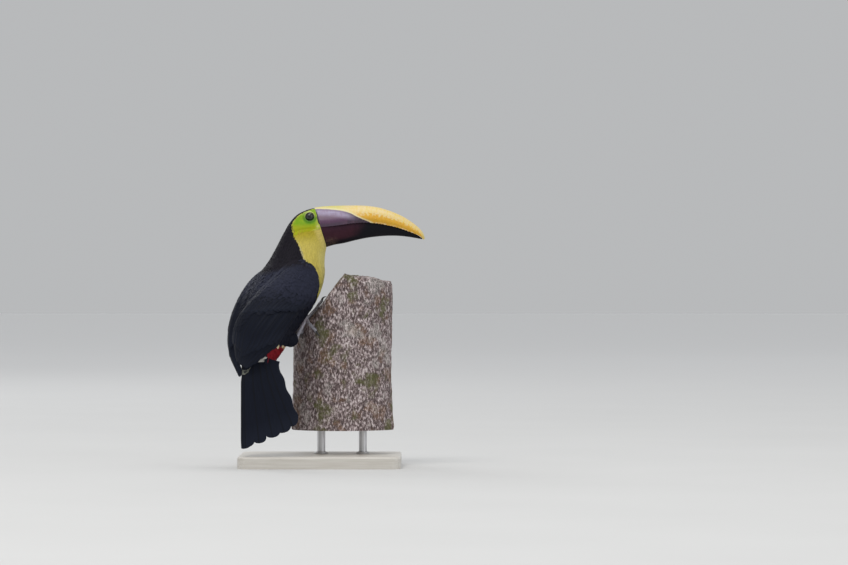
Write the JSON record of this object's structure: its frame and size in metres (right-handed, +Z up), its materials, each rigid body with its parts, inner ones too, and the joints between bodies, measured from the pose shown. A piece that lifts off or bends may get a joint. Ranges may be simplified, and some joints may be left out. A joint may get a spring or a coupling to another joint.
{
  "type": "chestnut-mandibled toucan clinging to a cut trunk, still display model",
  "caption": "Life-size still toucan with a large two-tone bill, clinging to a short cut trunk that two rods hold above a flat base.",
  "frame": {"origin": "centre of the underside of the stand's flat base", "axes": "+Z up; +X the way the bill points; the bird's breast faces 40 degrees from +X towards +Y, and its right side and back show from -Y"},
  "size_m": [0.2889, 0.2223, 0.3872],
  "materials": {
    "plumage": "black feathers, blue-black on the wings and maroon-black on the nape",
    "bib": "soft yellow feathers",
    "face": "bare lime-green skin",
    "bill": "satin horn, yellow above and chestnut at the base",
    "bill_lower": "satin horn, chestnut at the base and black towards the tip",
    "eye": "wet gloss, dark iris and black pupil",
    "leg_skin": "scaled grey-blue skin",
    "claw": "dark horn",
    "bark": "rough mottled bark with lichen and moss",
    "stand_base": "satin pale lacquer",
    "stand_rod": "satin"
  },
  "bodies": {
    "root": {"bill_lower": "bill_lower", "bill_upper": "bill", "claw_left_1": "claw", "claw_left_2": "claw", "claw_left_3": "claw", "claw_left_4": "claw", "claw_right_1": "claw", "claw_right_2": "claw", "claw_right_3": "claw", "claw_right_4": "claw", "eye_left": "eye", "eye_right": "eye", "head": "face", "leg_left": "leg_skin", "leg_right": "leg_skin", "neck": "bib", "perch_trunk": "bark", "stand_base": "stand_base", "stand_rod_left": "stand_rod", "stand_rod_right": "stand_rod", "tail": "plumage", "thigh_left": "plumage", "thigh_right": "plumage", "trunk": "plumage", "wing_left": "plumage", "wing_right": "plumage"}
  },
  "joints": []
}
